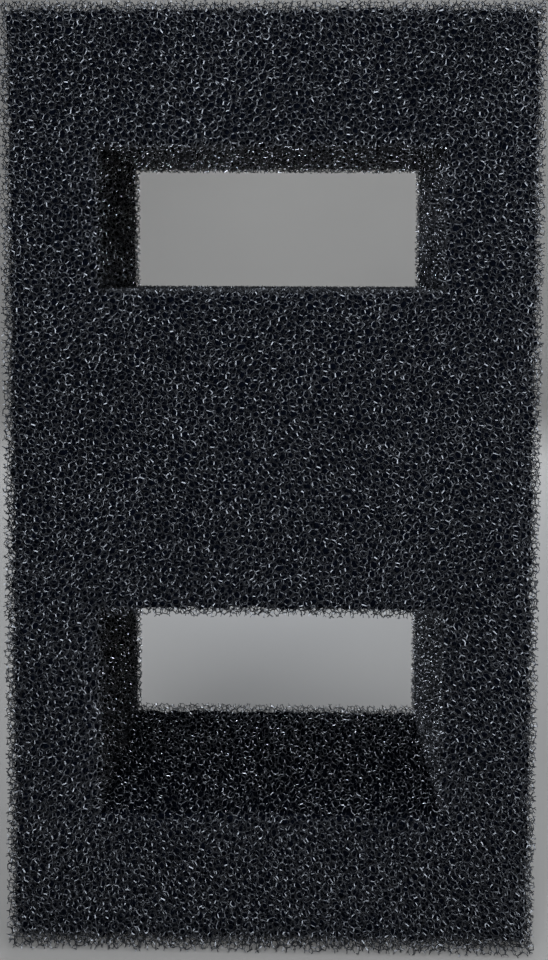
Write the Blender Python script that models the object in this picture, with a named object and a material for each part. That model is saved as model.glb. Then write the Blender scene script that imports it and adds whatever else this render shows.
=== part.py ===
"""A sponge filter: an upright block of open-cell filter foam with two rectangular windows cut through it.

Frame: metres, +Z up, origin at the middle of the bottom face. X runs across the width, the front face looks
along -Y, and the windows run through the block along Y.

The real block is one cut of foam. It is built here as its five plain members, two upright walls and three bars
between them, which leave the windows open. Each bar keeps a hair of clearance to the walls.
"""

import bmesh
import bpy
from mathutils import Vector

# Outside of the block.
BLOCK_WIDTH = 0.112
BLOCK_DEPTH = 0.050
BLOCK_HEIGHT = 0.200

# Foam left round the windows, and the windows' heights. The middle bar takes what is left of the height.
SIDE_WALL = 0.020
TOP_BAR = 0.0295
UPPER_WINDOW = 0.0295
LOWER_WINDOW = 0.0435
BOTTOM_BAR = 0.029

# Clearance between a bar's end and the wall that it meets.
CUT_CLEARANCE = 0.0003

FOAM_COLOUR = (0.018, 0.019, 0.022, 1.0)
FOAM_ROUGHNESS = 0.55


def clear_scene():
    for obj in list(bpy.data.objects):
        bpy.data.objects.remove(obj, do_unlink=True)


def foam_material(name):
    """Matt black foam, for one member."""
    material = bpy.data.materials.new(name)
    material.use_nodes = True
    shader = material.node_tree.nodes["Principled BSDF"]
    shader.inputs["Base Color"].default_value = FOAM_COLOUR
    shader.inputs["Roughness"].default_value = FOAM_ROUGHNESS
    shader.inputs["Metallic"].default_value = 0.0
    material.diffuse_color = FOAM_COLOUR
    return material


def foam_member(name, low, high):
    """A member of the block that fills the space from its low corner to its high one, with its origin at the middle
    of its bottom face."""
    low, high = Vector(low), Vector(high)
    origin = Vector(((low.x + high.x) / 2, (low.y + high.y) / 2, low.z))
    shape = bmesh.new()
    bmesh.ops.create_cube(shape, size=1.0)
    bmesh.ops.scale(shape, vec=high - low, verts=shape.verts)
    bmesh.ops.translate(shape, vec=(low + high) / 2 - origin, verts=shape.verts)
    mesh = bpy.data.meshes.new(name)
    shape.to_mesh(mesh)
    shape.free()
    mesh.materials.append(foam_material(f"{name}_foam"))
    member = bpy.data.objects.new(name, mesh)
    member.location = origin
    bpy.context.scene.collection.objects.link(member)
    return member


def side_walls():
    """The two upright walls, over the block's full height."""
    for name, side in (("left_wall", -1), ("right_wall", 1)):
        outer = side * BLOCK_WIDTH / 2
        inner = outer - side * SIDE_WALL
        foam_member(
            name,
            (min(outer, inner), -BLOCK_DEPTH / 2, 0.0),
            (max(outer, inner), BLOCK_DEPTH / 2, BLOCK_HEIGHT),
        )


def cross_bars():
    """The bars below, between and above the windows, from wall to wall."""
    half_length = BLOCK_WIDTH / 2 - SIDE_WALL - CUT_CLEARANCE
    middle_low = BOTTOM_BAR + LOWER_WINDOW
    top_low = BLOCK_HEIGHT - TOP_BAR
    levels = {
        "bottom_bar": (0.0, BOTTOM_BAR),
        "middle_bar": (middle_low, top_low - UPPER_WINDOW),
        "top_bar": (top_low, BLOCK_HEIGHT),
    }
    for name, (floor, ceiling) in levels.items():
        foam_member(
            name,
            (-half_length, -BLOCK_DEPTH / 2, floor),
            (half_length, BLOCK_DEPTH / 2, ceiling),
        )


clear_scene()
side_walls()
cross_bars()
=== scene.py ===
"""Sponge filter: a block of black open-cell filter foam with two windows, made strand by strand.

The foam is a net in which four strands meet at every node, as the edges of soap bubbles do. One tile of it
is worked out from evenly spread bubble centres, laid over the whole block at an odd angle so that no cut
through it repeats, and cut off at the block's faces. Only the outer layers are made, round a dark core that
stands for the inside.
"""

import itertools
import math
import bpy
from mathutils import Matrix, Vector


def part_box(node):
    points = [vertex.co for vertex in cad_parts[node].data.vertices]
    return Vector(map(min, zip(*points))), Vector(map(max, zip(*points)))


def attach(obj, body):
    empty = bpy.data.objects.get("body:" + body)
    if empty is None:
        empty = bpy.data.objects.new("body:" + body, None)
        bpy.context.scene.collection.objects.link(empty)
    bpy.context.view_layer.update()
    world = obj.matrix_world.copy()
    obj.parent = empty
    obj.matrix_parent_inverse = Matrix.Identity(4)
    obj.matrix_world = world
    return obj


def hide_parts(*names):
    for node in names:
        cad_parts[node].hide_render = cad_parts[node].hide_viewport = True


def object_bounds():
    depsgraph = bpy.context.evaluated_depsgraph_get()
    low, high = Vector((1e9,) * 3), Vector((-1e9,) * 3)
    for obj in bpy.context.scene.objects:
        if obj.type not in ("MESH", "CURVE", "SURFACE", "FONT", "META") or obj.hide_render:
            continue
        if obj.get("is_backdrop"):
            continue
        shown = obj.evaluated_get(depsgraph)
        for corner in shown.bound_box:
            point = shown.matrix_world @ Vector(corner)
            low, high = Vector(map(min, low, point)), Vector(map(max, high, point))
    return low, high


bl_info = {
    "name": "Sponge Filter",
    "version": (1, 0, 0),
    "blender": (4, 5, 0),
    "location": "3D View > Sidebar > Sponge Filter",
    "description": "Builds a block of open-cell filter foam with two windows, and a stage to show it on",
    "category": "Object",
}

import bpy
import numpy as np
from bpy.props import FloatProperty, FloatVectorProperty, IntProperty, PointerProperty
from mathutils import Euler, Matrix, Vector

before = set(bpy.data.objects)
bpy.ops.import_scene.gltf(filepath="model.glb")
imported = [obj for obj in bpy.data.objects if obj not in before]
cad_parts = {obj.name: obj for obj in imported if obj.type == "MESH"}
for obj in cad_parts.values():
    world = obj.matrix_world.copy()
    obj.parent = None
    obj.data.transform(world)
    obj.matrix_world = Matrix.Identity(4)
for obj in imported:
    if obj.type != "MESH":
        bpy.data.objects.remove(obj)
CAD_LOW, CAD_HIGH = (np.array(corner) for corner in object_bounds())

BODY = "root"

# The foam members, each with the axis that it is long in: 0 is X and 2 is Z.
WALLS = {"left_wall": 2, "right_wall": 2}
BARS = {"bottom_bar": 0, "middle_bar": 0, "top_bar": 0}

# A hub is a small tetrahedron: its corners lie this far from the node, for an edge of 1.
CORNER_REACH = math.sqrt(3 / 8)
# The smallest and the largest hub, against the width of a strand.
HUB_SIZES = (0.85, 1.2)
STRANDS_A_NODE = 4
ROUNDING_ERROR = 1e-9
# The least share of a strand that is left where it is cut.
SHORTEST_STUB = 0.15
# The turn of the net against the block, about X, Y and Z, at which no face cuts it in a repeating pattern.
NET_TURN = Euler((0.61, 0.37, 1.05))
# A member is split so that no piece holds more triangles than this. A strand makes 6.3 of them with its
# share of the caps, and 6.5 leaves some room.
MOST_TRIANGLES = 190_000
TRIANGLES_A_STRAND = 6.5
# What several operators use, such as the net, made once.
SHARED = {}


# --------------------------------------------------------------------------------------------------
# The foam net
# --------------------------------------------------------------------------------------------------


def spread_centres(count, rounds, rng):
    """Bubble centres in a unit cube that repeats, pushed apart a little in each round.

    Two centres push each other while they are nearer than 1.12 times the side of one bubble's share.
    """
    centres = rng.random((count, 3))
    reach = 1.12 * count ** (-1 / 3)
    for _ in range(rounds):
        apart = centres[:, None] - centres[None]
        apart -= np.round(apart)
        far = np.linalg.norm(apart, axis=2) + np.eye(count)
        push = np.clip(reach - far, 0, None) / far / 4
        centres = (centres + (apart * push[:, :, None]).sum(1)) % 1.0
    return centres


def meeting_points(centres, nearest=34):
    """The nodes: each point that is equally far from four bubble centres and has none nearer.

    Returns the points, their four centres, and the whole tiles from the first centre's tile to each of the
    others'. Only a centre's nearest neighbours are tried, so some sets of centres lose a node.
    """
    apart = centres[None] - centres[:, None]
    tiles = -np.round(apart)
    apart += tiles
    far = np.linalg.norm(apart, axis=2) + 9 * np.eye(len(centres))
    points, owners, steps = [], [], []
    for first, order in enumerate(np.argsort(far, axis=1)[:, :nearest]):
        towards = apart[first, order]
        half_way = (towards**2).sum(1) / 2
        trios = np.array(list(itertools.combinations(np.flatnonzero(order > first), 3)))
        if not len(trios):
            continue
        planes = towards[trios]
        solvable = np.abs(np.linalg.det(planes)) > ROUNDING_ERROR
        trios, planes = trios[solvable], planes[solvable]
        found = np.linalg.solve(planes, half_way[trios][:, :, None])[:, :, 0]
        nodes = (found @ towards.T <= half_way + ROUNDING_ERROR).all(1)
        for trio, point in zip(trios[nodes], found[nodes]):
            others = order[trio]
            others = others[np.argsort(others)]
            points.append(centres[first] + point)
            owners.append((first, *others))
            steps.append(np.vstack([np.zeros(3), tiles[first, others]]).astype(int))
    return np.array(points), owners, steps


def strands_between(owners, steps):
    """Pairs of nodes that share three bubbles, with the whole tiles from the first's tile to the second's."""
    sharing = {}
    for node, (cells, tiles) in enumerate(zip(owners, steps)):
        for trio in itertools.combinations(range(4), 3):
            start = tiles[trio[0]]
            key = tuple(cells[k] for k in trio), tuple(map(tuple, tiles[list(trio)] - start))
            sharing.setdefault(key, []).append((node, -start))
    if any(len(pair) != 2 for pair in sharing.values()):
        raise RuntimeError("these bubbles leave a node out of the net: try another Evenness or Seed")
    ends = [(a, b) for (a, _), (b, _) in sharing.values()]
    jumps = [there - here for (_, here), (_, there) in sharing.values()]
    return np.array(ends), np.array(jumps)


def drawn_tight(points, ends, jumps, rounds):
    """The nodes moved half way to the middle of their neighbours, as strands under tension pull them."""
    for _ in range(rounds):
        reach = points[ends[:, 1]] + jumps - points[ends[:, 0]]
        pull = np.zeros_like(points)
        np.add.at(pull, ends[:, 0], reach)
        np.add.at(pull, ends[:, 1], -reach)
        points = points + pull / (2 * STRANDS_A_NODE)
    return points


class NetTile:
    """One tile of the net, in metres, turned to NET_TURN, with the shape of the hub at each of its nodes.

    A hub is a tetrahedron with a corner opposite each strand, so each strand leaves from the face of the
    other three corners. starts and stops are those faces' corner numbers, paired so that a strand isn't
    twisted.
    """

    def __init__(self, props):
        rng = np.random.default_rng(props.seed)
        centres = spread_centres(props.bubbles, props.evenness, rng)
        points, owners, steps = meeting_points(centres)
        self.ends, self.jumps = strands_between(owners, steps)
        points = drawn_tight(points, self.ends, self.jumps, props.tension)
        self.side = props.bubble_pitch * props.bubbles ** (1 / 3)
        self.turn = np.array(NET_TURN.to_matrix())
        self.points = points * self.side @ self.turn.T
        self.count = len(points)
        self.number_the_strands()
        self.shape_the_hubs(props.strand_width, rng)

    def number_the_strands(self):
        """Gives each node's strands the numbers 0 to 3, and notes which way each one leaves."""
        here, there = self.points[self.ends[:, 0]], self.points[self.ends[:, 1]]
        reach = there + self.jumps * self.side @ self.turn.T - here
        nodes = self.ends.ravel(order="F")
        order = np.argsort(nodes, kind="stable")
        number = np.empty(len(nodes), int)
        number[order] = np.arange(len(nodes)) % STRANDS_A_NODE
        self.start_number, self.stop_number = number.reshape(2, -1)
        self.towards = np.empty((self.count, 4, 3))
        self.towards[nodes, number] = np.concatenate([reach, -reach])
        self.towards /= np.linalg.norm(self.towards, axis=2, keepdims=True)

    def shape_the_hubs(self, width, rng):
        """Places each hub's corners, lists its faces outwards, and pairs the faces at a strand's two ends."""
        sizes = width * CORNER_REACH * rng.uniform(*HUB_SIZES, (self.count, 1, 1))
        self.corners = -self.towards * sizes
        self.faces = np.empty((self.count, 4, 3), int)
        for strand in range(4):
            trio = np.array([k for k in range(4) if k != strand])
            a, b, c = self.corners[:, trio].transpose(1, 0, 2)
            inwards = (np.cross(b - a, c - a) * self.towards[:, strand]).sum(1) < 0
            self.faces[:, strand] = np.where(inwards[:, None], trio[::-1], trio)
        self.starts = self.faces[self.ends[:, 0], self.start_number]
        stops = self.faces[self.ends[:, 1], self.stop_number][:, ::-1]
        here = self.corner_places(self.ends[:, 0], self.starts)
        turned = [np.roll(stops, turn, axis=1) for turn in range(3)]
        twist = [
            ((here - self.corner_places(self.ends[:, 1], ring)) ** 2).sum((1, 2)) for ring in turned
        ]
        self.stops = np.stack(turned)[np.argmin(twist, axis=0), np.arange(len(stops))]

    def corner_places(self, nodes, rings):
        return self.corners[nodes[:, None], rings]


class Block:
    """The block's outside and its windows, which run through it along Y, as the frame has them."""

    def __init__(self):
        left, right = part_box("left_wall")[1][0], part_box("right_wall")[0][0]
        bars = [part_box(name) for name in BARS]
        self.low, self.high = CAD_LOW, CAD_HIGH
        self.windows = [
            np.array([[left, below[1][2]], [right, above[0][2]]])
            for below, above in itertools.pairwise(bars)
        ]

    def side_depth(self, points):
        """How far each point lies inside the nearest of the block's four sides."""
        flat = points[:, ::2]
        return np.minimum(flat - self.low[::2], self.high[::2] - flat).min(1)

    def window_depth(self, points):
        """How far each point lies outside the nearer window."""
        flat, depths = points[:, ::2], []
        for low, high in self.windows:
            past = np.abs(flat - (low + high) / 2) - (high - low) / 2
            depths.append(np.linalg.norm(past.clip(0), axis=1) + past.max(1).clip(None, 0))
        return np.minimum(*depths)

    def face_depth(self, points):
        """How far each point lies behind the nearer of the front and back faces."""
        return np.minimum(points[:, 1] - self.low[1], self.high[1] - points[:, 1])

    def depth(self, points):
        """How far each point lies inside the foam, below 0 where it is outside."""
        depths = [self.side_depth(points), self.window_depth(points), self.face_depth(points)]
        return np.minimum.reduce(depths)

    def below_layers(self, points, props, slack=0.0):
        """True for each point that lies deeper than the strands are made, by more than slack."""
        return (
            (self.side_depth(points) > props.side_layer + slack)
            & (self.window_depth(points) > props.window_layer + slack)
            & (self.face_depth(points) > props.face_layer + slack)
        )

    def cut_share(self, inside, outside, halvings=12):
        """The share of the way from each inside point to its outside one at which the surface lies."""
        near, far = np.zeros(len(inside)), np.ones(len(inside))
        for _ in range(halvings):
            middle = (near + far) / 2
            within = self.depth(inside + (outside - inside) * middle[:, None]) > 0
            near, far = np.where(within, middle, near), np.where(within, far, middle)
        return near


def stretched(points, amount):
    """A gentle, smooth unevenness of the foam, in which the bubbles drift by a little over many of them.

    Each axis drifts in waves along the two others, given by their lengths in metres and their start in turns.
    """
    waves = ((0.031, 0.047, 0.0), (0.037, 0.043, 0.3), (0.035, 0.041, 0.7))
    drift = []
    for axis, (first, second, offset) in enumerate(waves):
        turns = points[:, (axis + 1) % 3] / first + points[:, (axis + 2) % 3] / second + offset
        drift.append(np.sin(math.tau * turns))
    return points + amount * np.stack(drift, axis=1)


class FoamNet:
    """The strands of the block's outer layers: where each starts and stops, and how it ends there.

    It ends bare, cut off at the block's surface or buried in the core, or in a hub that other strands share.
    """

    def __init__(self, props):
        self.tile, self.block = NetTile(props), Block()
        rng = np.random.default_rng(props.seed + 1)
        places, tiles, number = self.lay_tiles(props)
        self.nodes = stretched((places[:, None] + self.tile.points).reshape(-1, 3), props.drift)
        ends = self.join_tiles(tiles, number)
        depths = self.block.depth(self.nodes)
        buried = self.block.below_layers(self.nodes, props)
        shown = (depths[ends] > 0).any(1) & ~buried[ends].all(1)
        self.start, self.stop, self.kind = ends[shown, 0], ends[shown, 1], self.kind[shown]
        given = depths, buried, props, rng
        self.start_place, self.start_bare = self.end_places(self.start, self.stop, *given)
        self.stop_place, self.stop_bare = self.end_places(self.stop, self.start, *given)

    def lay_tiles(self, props):
        """The tiles that reach the outer layers.

        Returns their places in metres, their whole-tile steps, and a grid of their numbers, -1 where none is.
        """
        tile, middle = self.tile, (CAD_LOW + CAD_HIGH) / 2
        corners = np.array(list(itertools.product(*zip(CAD_LOW - middle, CAD_HIGH - middle))))
        spans = corners @ tile.turn / tile.side
        low = np.floor(spans.min(0)).astype(int) - 1
        high = np.ceil(spans.max(0)).astype(int) + 1
        steps = np.stack(np.meshgrid(*map(np.arange, low, high), indexing="ij"), -1).reshape(-1, 3)
        places = steps * tile.side @ tile.turn.T + middle
        centres = places + tile.side / 2 * tile.turn.sum(1)
        reach = tile.side * math.sqrt(3) / 2 + props.drift
        near = self.block.depth(centres) > -reach
        near &= ~self.block.below_layers(centres, props, reach)
        places, steps = places[near], steps[near] - low
        number = np.full(high - low + 2, -1)
        number[tuple(steps.T)] = np.arange(len(steps))
        return places, steps, number

    def join_tiles(self, tiles, number):
        """Both nodes of every strand whose two tiles are laid. self.kind is its number in its tile."""
        tile = self.tile
        there = number[tuple((tiles[:, None] + tile.jumps).transpose(2, 0, 1))]
        here, self.kind = np.nonzero(there >= 0)
        there = there[here, self.kind]
        return np.stack([here, there], axis=1) * tile.count + tile.ends[self.kind]

    def end_places(self, nodes, others, depths, buried, props, rng):
        """Where the strands end at these nodes, and which of them end bare.

        A strand that leaves the block is cut at its surface, give or take what the blade leaves standing.
        """
        places = self.nodes[nodes].copy()
        cut = depths[nodes] <= 0
        inside, outside = self.nodes[others[cut]], self.nodes[nodes[cut]]
        length = np.linalg.norm(outside - inside, axis=1)
        left_standing = rng.uniform(-props.overhang / 3, props.overhang, len(inside))
        share = self.block.cut_share(inside, outside) + left_standing / length
        share = share.clip(SHORTEST_STUB, 1)
        places[cut] = inside + (outside - inside) * share[:, None]
        return places, cut | buried[nodes]

    def middles(self):
        return (self.start_place + self.stop_place) / 2

    def strand_rings(self, bare, nodes, hubs, rings, places, first):
        """The corner numbers of the strands' three-sided ends, and the places of the new corners among them.

        They are a hub's own corners, or new ones at a bare end, counted from first.
        """
        hub = np.searchsorted(hubs, nodes).clip(0, len(hubs) - 1)
        ring = hub[:, None] * 4 + rings
        ring[bare] = first + np.arange(3 * bare.sum()).reshape(-1, 3)
        corners = self.tile.corner_places(nodes[bare] % self.tile.count, rings[bare])
        return ring, (places[bare][:, None] + corners).reshape(-1, 3)

    def mesh(self, name, chosen):
        """A closed mesh of the chosen strands and the hubs that join them."""
        tile, kind = self.tile, self.kind[chosen]
        start, stop = self.start[chosen], self.stop[chosen]
        start_bare, stop_bare = self.start_bare[chosen], self.stop_bare[chosen]
        hubs = np.unique(np.concatenate([start[~start_bare], stop[~stop_bare]]))
        hub_corners = (self.nodes[hubs][:, None] + tile.corners[hubs % tile.count]).reshape(-1, 3)
        first = len(hub_corners)
        near, near_corners = self.strand_rings(
            start_bare, start, hubs, tile.starts[kind], self.start_place[chosen], first
        )
        first += len(near_corners)
        far, far_corners = self.strand_rings(
            stop_bare, stop, hubs, tile.stops[kind], self.stop_place[chosen], first
        )
        sides = np.concatenate(
            [np.stack([near[:, k], near[:, k - 2], far[:, k - 2], far[:, k]], axis=1) for k in range(3)]
        )
        joined = np.zeros((len(hubs), 4), bool)
        joined[np.searchsorted(hubs, start[~start_bare]), tile.start_number[kind[~start_bare]]] = True
        joined[np.searchsorted(hubs, stop[~stop_bare]), tile.stop_number[kind[~stop_bare]]] = True
        hub, strand = np.nonzero(~joined)
        open_faces = tile.faces[hubs[hub] % tile.count, strand] + hub[:, None] * 4
        caps = np.concatenate([near[start_bare][:, ::-1], far[stop_bare], open_faces])
        corners = np.concatenate([hub_corners, near_corners, far_corners])
        return mesh_of(name, corners, sides, caps)


def mesh_of(name, corners, *face_groups):
    """A mesh from arrays of corners and of faces, each group with its own number of corners a face."""
    mesh = bpy.data.meshes.new(name)
    mesh.vertices.add(len(corners))
    mesh.vertices.foreach_set("co", corners.astype(np.float32).ravel())
    rounds = np.concatenate([faces.ravel() for faces in face_groups])
    mesh.loops.add(len(rounds))
    mesh.loops.foreach_set("vertex_index", rounds.astype(np.int32))
    sizes = np.concatenate([np.full(len(faces), faces.shape[1]) for faces in face_groups])
    mesh.polygons.add(len(sizes))
    mesh.polygons.foreach_set("loop_start", (np.cumsum(sizes) - sizes).astype(np.int32))
    mesh.update(calc_edges=True)
    return mesh


# --------------------------------------------------------------------------------------------------
# Finishes
# --------------------------------------------------------------------------------------------------


class Signal:
    """The output of a shader node. Sums, differences and products with it add Math nodes."""

    def __init__(self, finish, socket):
        self.finish, self.socket = finish, socket

    def maths(self, operation, first, second):
        return self.finish.node("ShaderNodeMath", {"operation": operation}, {0: first, 1: second})

    def __add__(self, other):
        return self.maths("ADD", self, other)

    def __sub__(self, other):
        return self.maths("SUBTRACT", self, other)

    def __rsub__(self, other):
        return self.maths("SUBTRACT", other, self)

    def __mul__(self, other):
        return self.maths("MULTIPLY", self, other)

    __radd__, __rmul__ = __add__, __mul__


class Finish:
    """A material with one Principled shader, whose steady values are given by socket name."""

    def __init__(self, name, steady):
        self.material = bpy.data.materials.new(name)
        self.material.use_nodes = True
        self.tree = self.material.node_tree
        self.shader = self.tree.nodes["Principled BSDF"]
        for socket, value in steady.items():
            self.shader.inputs[socket].default_value = value

    def node(self, kind, settings, inputs, output=0):
        """A node of this kind, with its settings made first and then its sockets' values or links."""
        node = self.tree.nodes.new(kind)
        for setting, value in settings.items():
            setattr(node, setting, value)
        for socket, value in inputs.items():
            if isinstance(value, Signal):
                self.tree.links.new(value.socket, node.inputs[socket])
            else:
                node.inputs[socket].default_value = value
        return Signal(self, node.outputs[output])

    def place(self):
        return self.node("ShaderNodeTexCoord", {}, {}, "Object")

    def noise(self, across, detail=2.0):
        """Soft noise from 0 to 1, with lumps about this many metres across."""
        inputs = {"Vector": self.place(), "Scale": 1 / across, "Detail": detail}
        return self.node("ShaderNodeTexNoise", {}, inputs)

    def mixed(self, share, first, second):
        """The second colour over the first one, by share."""
        return self.node("ShaderNodeMix", {"data_type": "RGBA"}, {0: share, 6: first, 7: second}, 2)

    def feed(self, socket, signal):
        self.tree.links.new(signal.socket, self.shader.inputs[socket])


def strand_finish(look):
    """Black polyurethane strands: smooth enough to glint, and a little duller and paler in patches."""
    roughness_span = 0.22
    finish = Finish("black_foam_strand", {"Roughness": look.strand_roughness, "IOR": look.strand_ior})
    tone = finish.noise(0.0011) * 0.7 + finish.noise(0.018) * 0.5 - 0.1
    finish.feed("Base Color", finish.mixed(tone, (*look.strand_dark, 1.0), (*look.strand_pale, 1.0)))
    smoothest = look.strand_roughness - roughness_span / 2
    finish.feed("Roughness", finish.noise(0.0014) * roughness_span + smoothest)
    return finish.material


def core_finish(look):
    """The foam's inside, where hardly any light returns from between the strands: black foam, darker still
    with painted shade.
    """
    finish = Finish("deep_foam", {"Roughness": 1.0, "Specular IOR Level": 0.0})
    # The core's colour is painted shade over the foam's black; its paler patches fall at random.
    paler = tuple(2 * part for part in look.core_black_and_shade)
    finish.feed("Base Color", finish.mixed(finish.noise(0.003), (*look.core_black_and_shade, 1.0), (*paler, 1.0)))
    return finish.material


def cove_finish(colour):
    """Matt backdrop paper, a little uneven in tone."""
    finish = Finish("cove_paper", {"Roughness": 0.9, "Specular IOR Level": 0.2})
    paler = tuple(min(1.0, 1.06 * part) for part in colour)
    finish.feed("Base Color", finish.mixed(finish.noise(0.12), (*colour, 1.0), (*paler, 1.0)))
    return finish.material


# --------------------------------------------------------------------------------------------------
# Sizes and colours that a user may change
# --------------------------------------------------------------------------------------------------


class SpongeNetProps(bpy.types.PropertyGroup):
    """Sizes of the foam net."""

    bubble_pitch: FloatProperty(
        name="Bubble Pitch",
        description="Side of a cube as big as one bubble",
        default=0.0016,
        unit="LENGTH",
    )
    strand_width: FloatProperty(
        name="Strand Width",
        description="Side of a strand's three-sided section",
        default=0.000175,
        unit="LENGTH",
    )
    face_layer: FloatProperty(
        name="Face Layer",
        description="Depth of strands behind the front and back",
        default=0.0031,
        unit="LENGTH",
    )
    side_layer: FloatProperty(
        name="Side Layer",
        description="Depth of strands behind the four sides",
        default=0.0015,
        unit="LENGTH",
    )
    window_layer: FloatProperty(
        name="Window Layer",
        description="Depth of strands behind the windows' walls",
        default=0.0013,
        unit="LENGTH",
    )
    overlap: FloatProperty(
        name="Overlap",
        description="How far the strands reach into the core",
        default=0.0004,
        unit="LENGTH",
    )
    overhang: FloatProperty(
        name="Overhang",
        description="Most that a cut strand stands proud",
        default=0.0003,
        unit="LENGTH",
    )
    drift: FloatProperty(
        name="Drift",
        description="How far the bubbles wander from an even pitch",
        default=0.0006,
        unit="LENGTH",
    )
    bubbles: IntProperty(
        name="Bubbles", description="Bubbles in the tile that repeats", default=260, min=100
    )
    evenness: IntProperty(
        name="Evenness", description="Rounds of pushing the bubbles apart", default=14, min=1
    )
    tension: IntProperty(
        name="Tension", description="Rounds of drawing the strands tight", default=3, min=0
    )
    seed: IntProperty(name="Seed", description="Start of every random draw", default=7)


class SpongeLookProps(bpy.types.PropertyGroup):
    """Colours and shine of the foam."""

    strand_dark: FloatVectorProperty(
        name="Strand Dark",
        description="Darker strands",
        default=(0.0015, 0.0016, 0.0020),
        subtype="COLOR",
        min=0,
        max=1,
    )
    strand_pale: FloatVectorProperty(
        name="Strand Pale",
        description="Paler strands",
        default=(0.0034, 0.0036, 0.0044),
        subtype="COLOR",
        min=0,
        max=1,
    )
    # Painted shade: the core is black foam, painted darker than the strands for the deep shade inside it.
    core_black_and_shade: FloatVectorProperty(
        name="Core Black",
        description="Dark between the strands",
        default=(0.0006, 0.0008, 0.0014),
        subtype="COLOR",
        min=0,
        max=1,
    )
    strand_roughness: FloatProperty(
        name="Strand Roughness", description="Dullness of the strands", default=0.38, min=0, max=1
    )
    strand_ior: FloatProperty(
        name="Strand IOR", description="Index of refraction of the strands", default=1.55, min=1
    )


class SpongeStageProps(bpy.types.PropertyGroup):
    """The floor and wall, the lamps and the camera."""

    cove_colour: FloatVectorProperty(
        name="Cove",
        description="Floor and wall",
        default=(0.20, 0.185, 0.162),
        subtype="COLOR",
        min=0,
        max=1,
    )
    wall_gap: FloatProperty(
        name="Wall Gap", description="From the block's middle to the wall", default=0.9, unit="LENGTH"
    )
    cove_radius: FloatProperty(
        name="Cove Radius", description="Curve from the floor to the wall", default=0.4, unit="LENGTH"
    )
    floor_gap: FloatProperty(
        name="Floor Gap",
        description="Space that the cut strands stand in",
        default=0.0004,
        unit="LENGTH",
    )
    sky_strength: FloatProperty(name="Sky", description="Light from all round", default=0.04, min=0)
    key_power: FloatProperty(
        name="Key Lamp", description="Lamp in front, a little to the left", default=3.8, unit="POWER"
    )
    top_power: FloatProperty(
        name="Top Lamp", description="Lamp above, in front", default=6.0, unit="POWER"
    )
    back_power: FloatProperty(
        name="Back Lamps", description="Lamps behind and to the right", default=5.0, unit="POWER"
    )
    wall_power: FloatProperty(
        name="Wall Lamp", description="Lamp that lights the wall behind", default=4.0, unit="POWER"
    )
    lamp_colour: FloatVectorProperty(
        name="Lamp Colour",
        description="Cool daylight",
        default=(0.80, 0.875, 1.0),
        subtype="COLOR",
        min=0,
        max=1,
    )
    lens: FloatProperty(name="Lens", description="Focal length, in millimetres", default=32.9, min=1)


# --------------------------------------------------------------------------------------------------
# Operators
# --------------------------------------------------------------------------------------------------


def new_piece(name, mesh, material):
    """An object for this mesh that rides on the block, with this material in its slot."""
    piece = bpy.data.objects.new(name, mesh)
    mesh.materials.append(material)
    bpy.context.scene.collection.objects.link(piece)
    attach(piece, BODY)
    return piece


def shared(key, make):
    """What several operators use, such as the net or a finish, made once."""
    if key not in SHARED:
        SHARED[key] = make()
    return SHARED[key]


def member_of(points, block):
    """The name of the foam member that each point belongs to."""
    x, z = points[:, 0], points[:, 2]
    lower, upper = (window.mean(0)[1] for window in block.windows)
    (left, _), (right, _) = block.windows[0]
    *lower_bars, top_bar = BARS
    bar = np.select([z < lower, z < upper], lower_bars, top_bar)
    return np.select([x < left, x > right], list(WALLS), bar)


def make_net_pieces(context, members):
    """The strands of these members, each member's in bands along it that stay within MOST_TRIANGLES."""
    scene = context.scene
    net = shared("net", lambda: FoamNet(scene.sponge_net))
    material = shared("strand", lambda: strand_finish(scene.sponge_look))
    middles = net.middles()
    owner = member_of(middles, net.block)
    for member, axis in members.items():
        strands = np.flatnonzero(owner == member)
        if not len(strands):
            raise RuntimeError(f"no strands fall in {member}")
        bands = math.ceil(len(strands) * TRIANGLES_A_STRAND / MOST_TRIANGLES)
        ranks = np.argsort(np.argsort(middles[strands, axis]))
        for band in range(bands):
            chosen = strands[ranks * bands // len(strands) == band]
            name = f"{member}_strands_{band + 1}"
            piece = new_piece(name, net.mesh(name, chosen), material)
            piece.data.shade_flat()
            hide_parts(member)


class SPONGE_OT_side_walls(bpy.types.Operator):
    """Make the strands of the two upright walls"""

    bl_idname = "sponge.side_walls"
    bl_label = "Side Walls"

    def execute(self, context):
        make_net_pieces(context, WALLS)
        return {"FINISHED"}


class SPONGE_OT_cross_bars(bpy.types.Operator):
    """Make the strands of the bars below, between and above the windows"""

    bl_idname = "sponge.cross_bars"
    bl_label = "Cross Bars"

    def execute(self, context):
        make_net_pieces(context, BARS)
        return {"FINISHED"}


def stations(edges, step):
    """Places from edge to edge at about this step, and the number of the stretch that each gap lies in."""
    stretches = list(itertools.pairwise(edges))
    counts = [max(1, round((after - before) / step)) for before, after in stretches]
    runs = [np.linspace(*stretch, count, endpoint=False) for stretch, count in zip(stretches, counts)]
    return np.append(np.concatenate(runs), edges[-1]), np.repeat(np.arange(len(counts)), counts)


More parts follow.
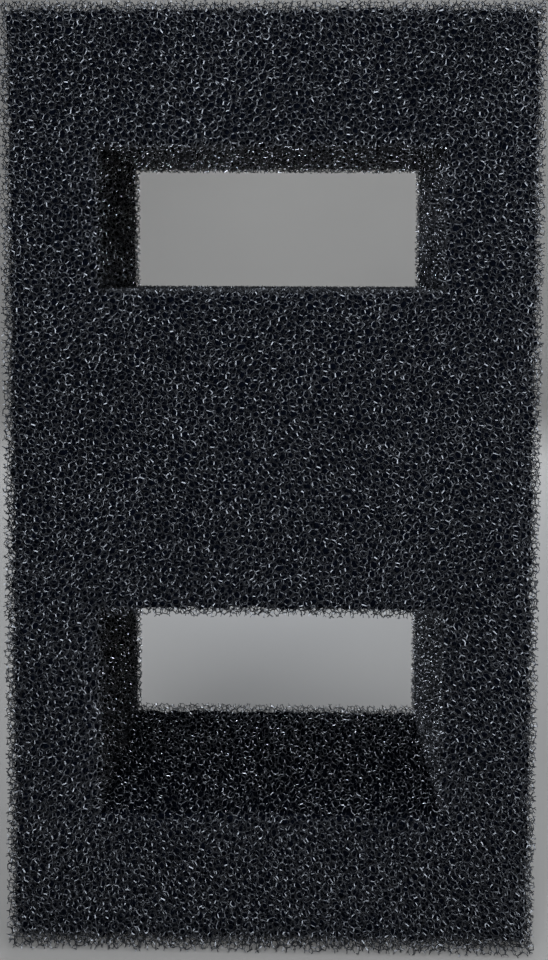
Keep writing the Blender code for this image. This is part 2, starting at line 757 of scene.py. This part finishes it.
class SPONGE_OT_core(bpy.types.Operator):
    """Make the dark inside of the foam, a lumpy block with both windows"""

    bl_idname = "sponge.core"
    bl_label = "Core"

    # All in metres: the side of a face, how far a corner moves, and how far one on an outer edge moves in.
    step = 0.0011
    lumps = 0.0004
    side_lumps = 0.0007
    rounding = 0.0009

    def execute(self, context):
        scene = context.scene
        props, block = scene.sponge_net, Block()
        places, filled = self.grid(props, block)
        corners, faces = self.skin(filled, places)
        self.roughen(corners, places, block, np.random.default_rng(props.seed + 2))
        name = "deep_foam_core"
        new_piece(name, mesh_of(name, corners, faces), core_finish(scene.sponge_look))
        return {"FINISHED"}

    def grid(self, props, block):
        """The core's grid: its places along X, Y and Z, and which cells are filled, with empty ones round."""
        layers = props.side_layer, props.window_layer, props.face_layer
        side, window, face = (layer - props.overlap for layer in layers)
        (left, lower_floor), (right, lower_top) = block.windows[0]
        (_, upper_floor), (_, upper_top) = block.windows[1]
        low, high = block.low, block.high
        x, across = stations([low[0] + side, left - window, right + window, high[0] - side], self.step)
        y, _ = stations([low[1] + face, high[1] - face], self.step)
        lower = [lower_floor - window, lower_top + window]
        upper = [upper_floor - window, upper_top + window]
        z, up = stations([low[2] + side, *lower, *upper, high[2] - side], self.step)
        solid = ~((across == 1)[:, None] & (up % 2 == 1)[None])
        filled = np.zeros((len(x) + 1, len(y) + 1, len(z) + 1), bool)
        filled[1:-1, 1:-1, 1:-1] = solid[:, None]
        return (x, y, z), filled

    def roughen(self, corners, places, block, rng):
        """Moves every corner a little, and those on the outer edges inwards as well."""
        on_plane = [np.isin(corners[:, axis], (along[0], along[-1])) for axis, along in enumerate(places)]
        on_edge = sum(on_plane) > 1
        on_side = (on_plane[0] | on_plane[2])[:, None]
        outwards = np.sign(corners[on_edge] - (block.low + block.high) / 2)
        corners[on_edge] -= outwards * rng.uniform(0, self.rounding, outwards.shape)
        corners += np.where(on_side, self.side_lumps, self.lumps) * rng.uniform(-1, 1, corners.shape)

    @staticmethod
    def skin(filled, places):
        """The corners and outward faces between filled cells and empty ones."""
        shape = [len(along) for along in places]
        faces = []
        for axis in range(3):
            ring = [(0, 0), (1, 0), (1, 1), (0, 1)]
            before = np.moveaxis(filled, axis, 0)[:-1]
            after = np.moveaxis(filled, axis, 0)[1:]
            for edge, turned in ((before & ~after, False), (~before & after, True)):
                at = np.argwhere(np.moveaxis(edge, 0, axis))
                quad = np.repeat(at[:, None], 4, axis=1)
                for k, (first, second) in enumerate(ring[::-1] if turned else ring):
                    quad[:, k, (axis + 1) % 3] += first - 1
                    quad[:, k, (axis + 2) % 3] += second - 1
                faces.append(np.ravel_multi_index(quad.transpose(2, 0, 1), shape))
        used, faces = np.unique(np.concatenate(faces), return_inverse=True)
        at = np.unravel_index(used, shape)
        return np.stack([along[k] for along, k in zip(places, at)], axis=1), faces.reshape(-1, 4)


def lamp(name, place, target, sides, power, colour, spread=math.pi):
    """A soft rectangular lamp that the camera doesn't see. spread is the full angle that it shines in."""
    data = bpy.data.lights.new(name, "AREA")
    data.shape = "RECTANGLE"
    data.size, data.size_y = sides
    data.energy, data.color, data.spread = power, colour, spread
    light = bpy.data.objects.new(name, data)
    light.location = place
    light.rotation_euler = (Vector(target) - Vector(place)).to_track_quat("-Z", "Y").to_euler()
    light.visible_camera = False
    bpy.context.scene.collection.objects.link(light)


class SPONGE_OT_stage(bpy.types.Operator):
    """Make the floor and wall, the lamps and the camera"""

    bl_idname = "sponge.stage"
    bl_label = "Stage"

    reach = 3.0
    cove_steps = 25
    sky_colour = (0.80, 0.88, 1.0, 1.0)
    # The camera's place is in widths of the block from its lower left front corner, and its shift in shares
    # of the view's longer side. A quarter turn about X and none about Y and Z would be a level look along Y.
    camera_place = (0.5540, -1.6130, 1.2924)
    camera_turns = (math.pi / 2 - 0.0423, -0.0035, 0.0165)
    camera_shift = (-0.0125, -0.1780)
    nearest_seen = 0.01

    def execute(self, context):
        scene = context.scene
        props = scene.sponge_stage
        self.make_cove(props)
        self.make_lights(scene, props)
        self.make_camera(scene, props)
        scene.view_settings.view_transform = "Standard"
        return {"FINISHED"}

    def make_cove(self, props):
        """The floor, which curves up into the wall behind."""
        start, radius = props.wall_gap - props.cove_radius, props.cove_radius
        turns = np.linspace(0, math.pi / 2, self.cove_steps)
        curve = [(start + radius * math.sin(turn), radius - radius * math.cos(turn)) for turn in turns]
        outline = np.array([(-self.reach, 0), *curve, (props.wall_gap, self.reach)])
        floor = CAD_LOW[2] - props.floor_gap
        sides = [np.insert(outline + (0, floor), 0, side, axis=1) for side in (-self.reach, self.reach)]
        first = np.arange(len(outline) - 1)
        second = first + len(outline)
        faces = np.stack([second, second + 1, first + 1, first], axis=1)
        mesh = mesh_of("cove", np.concatenate(sides), faces)
        mesh.materials.append(cove_finish(tuple(props.cove_colour)))
        mesh.shade_smooth()
        cove = bpy.data.objects.new("cove", mesh)
        bpy.context.scene.collection.objects.link(cove)
        cove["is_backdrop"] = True

    def make_lights(self, scene, props):
        scene.world = bpy.data.worlds.new("soft_room")
        scene.world.use_nodes = True
        sky = scene.world.node_tree.nodes["Background"]
        sky.inputs["Color"].default_value = self.sky_colour
        sky.inputs["Strength"].default_value = props.sky_strength
        middle = (CAD_LOW + CAD_HIGH) / 2
        lamp(
            "key_lamp",
            place=(-0.17, -0.63, 0.20),
            target=(0.0, CAD_LOW[1], CAD_HIGH[2]),
            sides=(0.50, 0.38),
            power=props.key_power,
            colour=props.lamp_colour,
            spread=1.4,
        )
        lamp(
            "top_lamp",
            place=(0.06, -0.32, 0.66),
            target=middle,
            sides=(0.60, 0.60),
            power=props.top_power,
            colour=props.lamp_colour,
        )
        lamp(
            "back_lamp",
            place=(0.0, 0.62, 0.10),
            target=middle,
            sides=(0.16, 0.16),
            power=props.back_power,
            colour=props.lamp_colour,
        )
        lamp(
            "side_lamp",
            place=(0.70, 0.0, 0.20),
            target=middle,
            sides=(0.25, 0.25),
            power=props.back_power,
            colour=props.lamp_colour,
        )
        lamp(
            "wall_lamp",
            place=(0.0, props.wall_gap / 2, 0.9),
            target=(0.0, props.wall_gap, 0.2),
            sides=(0.8, 0.8),
            power=props.wall_power,
            colour=props.lamp_colour,
        )

    def make_camera(self, scene, props):
        width = CAD_HIGH[0] - CAD_LOW[0]
        data = bpy.data.cameras.new("camera")
        data.lens, data.clip_start = props.lens, self.nearest_seen
        data.shift_x, data.shift_y = self.camera_shift
        camera = bpy.data.objects.new("camera", data)
        place = Vector(CAD_LOW + width * np.array(self.camera_place))
        camera.matrix_world = Matrix.LocRotScale(place, Euler(self.camera_turns), None)
        scene.collection.objects.link(camera)
        scene.camera = camera


class SPONGE_PT_panel(bpy.types.Panel):
    """Lists the steps of the build, with their sizes and colours"""

    bl_idname = "SPONGE_PT_panel"
    bl_label = "Sponge Filter"
    bl_space_type = "VIEW_3D"
    bl_region_type = "UI"
    bl_category = "Sponge Filter"

    def draw(self, context):
        for operator in STEPS:
            self.layout.operator(operator.bl_idname)
        for name in PROPS:
            group = getattr(context.scene, name)
            box = self.layout.box()
            for prop in group.bl_rna.properties:
                if not prop.is_readonly and prop.identifier != "name":
                    box.prop(group, prop.identifier)


STEPS = (SPONGE_OT_side_walls, SPONGE_OT_cross_bars, SPONGE_OT_core, SPONGE_OT_stage)
PROPS = {"sponge_net": SpongeNetProps, "sponge_look": SpongeLookProps, "sponge_stage": SpongeStageProps}
CLASSES = (*PROPS.values(), *STEPS, SPONGE_PT_panel)


def register():
    for cls in CLASSES:
        bpy.utils.register_class(cls)
    for name, cls in PROPS.items():
        setattr(bpy.types.Scene, name, PointerProperty(type=cls))


def unregister():
    for name in PROPS:
        delattr(bpy.types.Scene, name)
    for cls in reversed(CLASSES):
        bpy.utils.unregister_class(cls)


def main():
    register()
    bpy.ops.sponge.side_walls()
    bpy.ops.sponge.cross_bars()
    bpy.ops.sponge.core()
    bpy.ops.sponge.stage()


if __name__ == "__main__":
    main()
